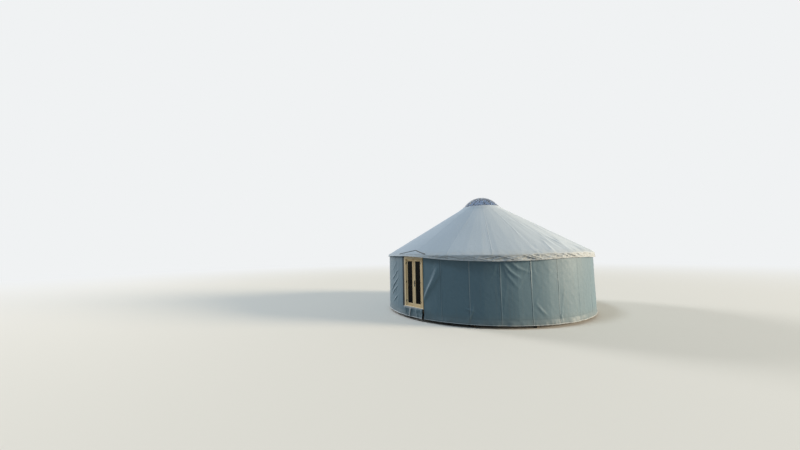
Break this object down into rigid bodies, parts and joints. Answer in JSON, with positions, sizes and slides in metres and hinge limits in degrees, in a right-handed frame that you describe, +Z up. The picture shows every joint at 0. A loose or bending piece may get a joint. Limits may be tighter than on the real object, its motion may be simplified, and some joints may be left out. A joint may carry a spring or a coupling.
{
  "type": "yurt",
  "caption": "Round fabric-covered trellis tent with a conical roof, clear crown dome and a glazed double door, standing on a raised timber platform.",
  "frame": {"origin": "on the ground under the middle of the round plan", "axes": "+Z up, -Y out through the door, +X to the right for someone who faces the door from outside"},
  "size_m": [9.9, 9.8999, 5.6629],
  "materials": {
    "platform_timber": "rough sawn",
    "trellis_wood": "planed",
    "steel": "galvanised",
    "rib_paint": "satin",
    "clear_dome": "clear moulded sheet",
    "roof_canvas": "coated canvas",
    "wall_canvas": "coated fabric",
    "dark_strip": "coated fabric",
    "door_wood": "clear lacquer",
    "glass_pane": "clear",
    "black_metal": "satin"
  },
  "bodies": {
    "tent": {"stumps": "platform_timber", "bearers": "platform_timber", "joists": "platform_timber", "floor_deck": "platform_timber", "rim_board": "platform_timber", "lattice_right_1": "trellis_wood", "lattice_right_2": "trellis_wood", "lattice_right_3": "trellis_wood", "lattice_left_1": "trellis_wood", "lattice_left_2": "trellis_wood", "lattice_left_3": "trellis_wood", "rafters": "trellis_wood", "crown_ring": "trellis_wood", "wall_right_1": "wall_canvas", "wall_right_2": "wall_canvas", "wall_right_3": "wall_canvas", "wall_right_4": "wall_canvas", "wall_left_1": "wall_canvas", "wall_left_2": "wall_canvas", "wall_left_3": "wall_canvas", "wall_left_4": "wall_canvas", "wall_back": "wall_canvas", "roof_front": "roof_canvas", "roof_right_front": "roof_canvas", "roof_right_back": "roof_canvas", "roof_back": "roof_canvas", "roof_left_back": "roof_canvas", "roof_left_front": "roof_canvas", "gable_flap": "roof_canvas", "apron": "wall_canvas", "wall_cable": "steel", "crown_ribs": "rib_paint", "dome": "clear_dome", "door_flap_right": "dark_strip", "door_flap_left": "dark_strip", "door_jamb_right": "door_wood", "door_jamb_left": "door_wood", "door_head": "door_wood", "door_sill": "door_wood", "frame_hinges": "black_metal"},
    "door_right": {"leaf_right": "door_wood", "glass_right": "glass_pane", "leaf_hinges_right": "black_metal", "handle_plates": "black_metal"},
    "door_left": {"leaf_left": "door_wood", "glass_left": "glass_pane", "leaf_hinges_left": "black_metal"},
    "lever": {"handle": "black_metal"}
  },
  "joints": [
    {"name": "door_right_hinge", "type": "hinge", "parent": "tent", "child": "door_right", "pos_m": [0.483, -4.878, 1.55], "axis": [0, 0, 1], "range_deg": [0, 90]},
    {"name": "door_left_hinge", "type": "hinge", "parent": "tent", "child": "door_left", "pos_m": [-0.483, -4.878, 1.55], "axis": [0, 0, -1], "range_deg": [0, 90]},
    {"name": "lever_turn", "type": "hinge", "parent": "door_right", "child": "lever", "pos_m": [0.048, -4.848, 1.535], "axis": [0, 1, 0], "range_deg": [0, 40], "stiffness_Nm_per_rad": 1.5, "springref_deg": -20.05}
  ]
}
